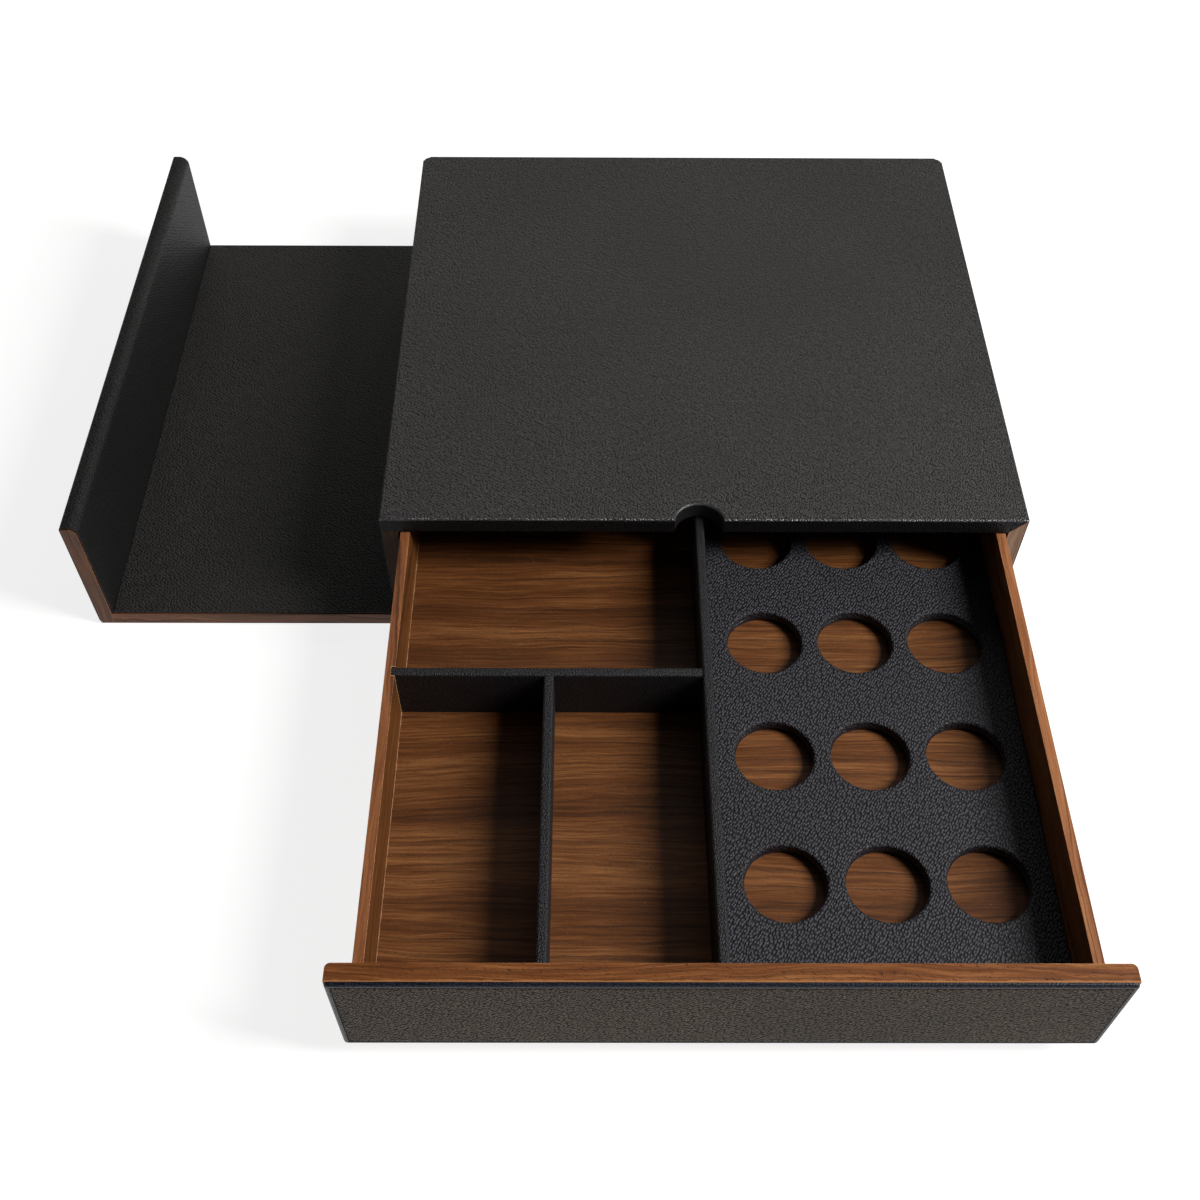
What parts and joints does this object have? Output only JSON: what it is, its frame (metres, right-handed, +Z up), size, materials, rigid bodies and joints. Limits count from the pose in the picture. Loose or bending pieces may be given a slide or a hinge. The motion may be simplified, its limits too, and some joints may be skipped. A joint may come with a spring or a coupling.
{
  "type": "coffee pod drawer",
  "caption": "Low leather-covered case with a sliding drawer of open compartments and a plate of round pod recesses, and an L-shaped tray that slides out from under one side.",
  "frame": {"origin": "on the table, under the middle of the case's footprint", "axes": "+X to the right of someone who faces the drawer, +Y to the back, +Z up; the drawer opens towards -Y and the tray towards -X"},
  "size_m": [0.5196, 0.5857, 0.0835],
  "materials": {
    "walnut": "satin",
    "walnut_front": "satin",
    "walnut_floor": "satin",
    "hidden_wood": "matte",
    "case_leather": "satin",
    "tray_leather": "satin",
    "inner_leather": "satin",
    "facing_leather": "satin",
    "felt": "matte",
    "slip_plastic": "matte",
    "runner_steel": "satin",
    "screw_steel": "satin",
    "ball_steel": "gloss",
    "thread": "matte"
  },
  "bodies": {
    "case": {"case_top_panel": "walnut", "case_left_side": "walnut", "case_right_side": "walnut", "case_back_panel": "walnut", "case_bottom_panel": "hidden_wood", "case_top_leather": "case_leather", "case_left_leather": "case_leather", "case_right_leather": "case_leather", "case_back_leather": "case_leather", "case_foot_strip": "felt", "glide_strips": "slip_plastic", "tray_guide_pins": "runner_steel", "drawer_stop_pads": "felt", "runner_left_case_member": "runner_steel", "runner_right_case_member": "runner_steel", "runner_case_screws": "screw_steel"},
    "drawer": {"drawer_front_board": "walnut_front", "drawer_front_facing": "facing_leather", "drawer_left_side": "walnut", "drawer_right_side": "walnut", "drawer_back": "walnut", "drawer_floor": "walnut_floor", "long_divider_core": "hidden_wood", "long_divider_leather": "inner_leather", "cross_divider_core": "hidden_wood", "cross_divider_leather": "inner_leather", "short_divider_core": "hidden_wood", "short_divider_leather": "inner_leather", "pod_plate_board": "hidden_wood", "pod_plate_leather": "inner_leather", "runner_left_drawer_member": "runner_steel", "runner_right_drawer_member": "runner_steel", "runner_drawer_screws": "screw_steel", "drawer_front_screws": "screw_steel"},
    "tray": {"tray_floor_board": "walnut", "tray_floor_leather": "tray_leather", "tray_upright_board": "walnut", "tray_upright_leather": "tray_leather", "tray_front_rail": "hidden_wood", "tray_back_rail": "hidden_wood", "tray_middle_board": "hidden_wood", "tray_end_rail": "hidden_wood", "tray_base_felt": "felt", "tray_joint_screws": "screw_steel"},
    "left_cage": {"runner_left_cage": "slip_plastic", "runner_left_balls": "ball_steel"},
    "right_cage": {"runner_right_cage": "slip_plastic", "runner_right_balls": "ball_steel"}
  },
  "joints": [
    {"name": "drawer_slide", "type": "slide", "parent": "case", "child": "drawer", "axis": [0, 1, 0], "range_m": [0, 0.2497]},
    {"name": "tray_slide", "type": "slide", "parent": "case", "child": "tray", "axis": [1, 0, 0], "range_m": [0, 0.1593]},
    {"name": "left_cage_slide", "type": "slide", "parent": "case", "child": "left_cage", "axis": [0, 1, 0], "range_m": [0, 0.12485]},
    {"name": "right_cage_slide", "type": "slide", "parent": "case", "child": "right_cage", "axis": [0, 1, 0], "range_m": [0, 0.12485]}
  ],
  "couplings": [
    {"joint": "left_cage_slide", "follows": "drawer_slide", "ratio": 0.5},
    {"joint": "right_cage_slide", "follows": "drawer_slide", "ratio": 0.5}
  ]
}
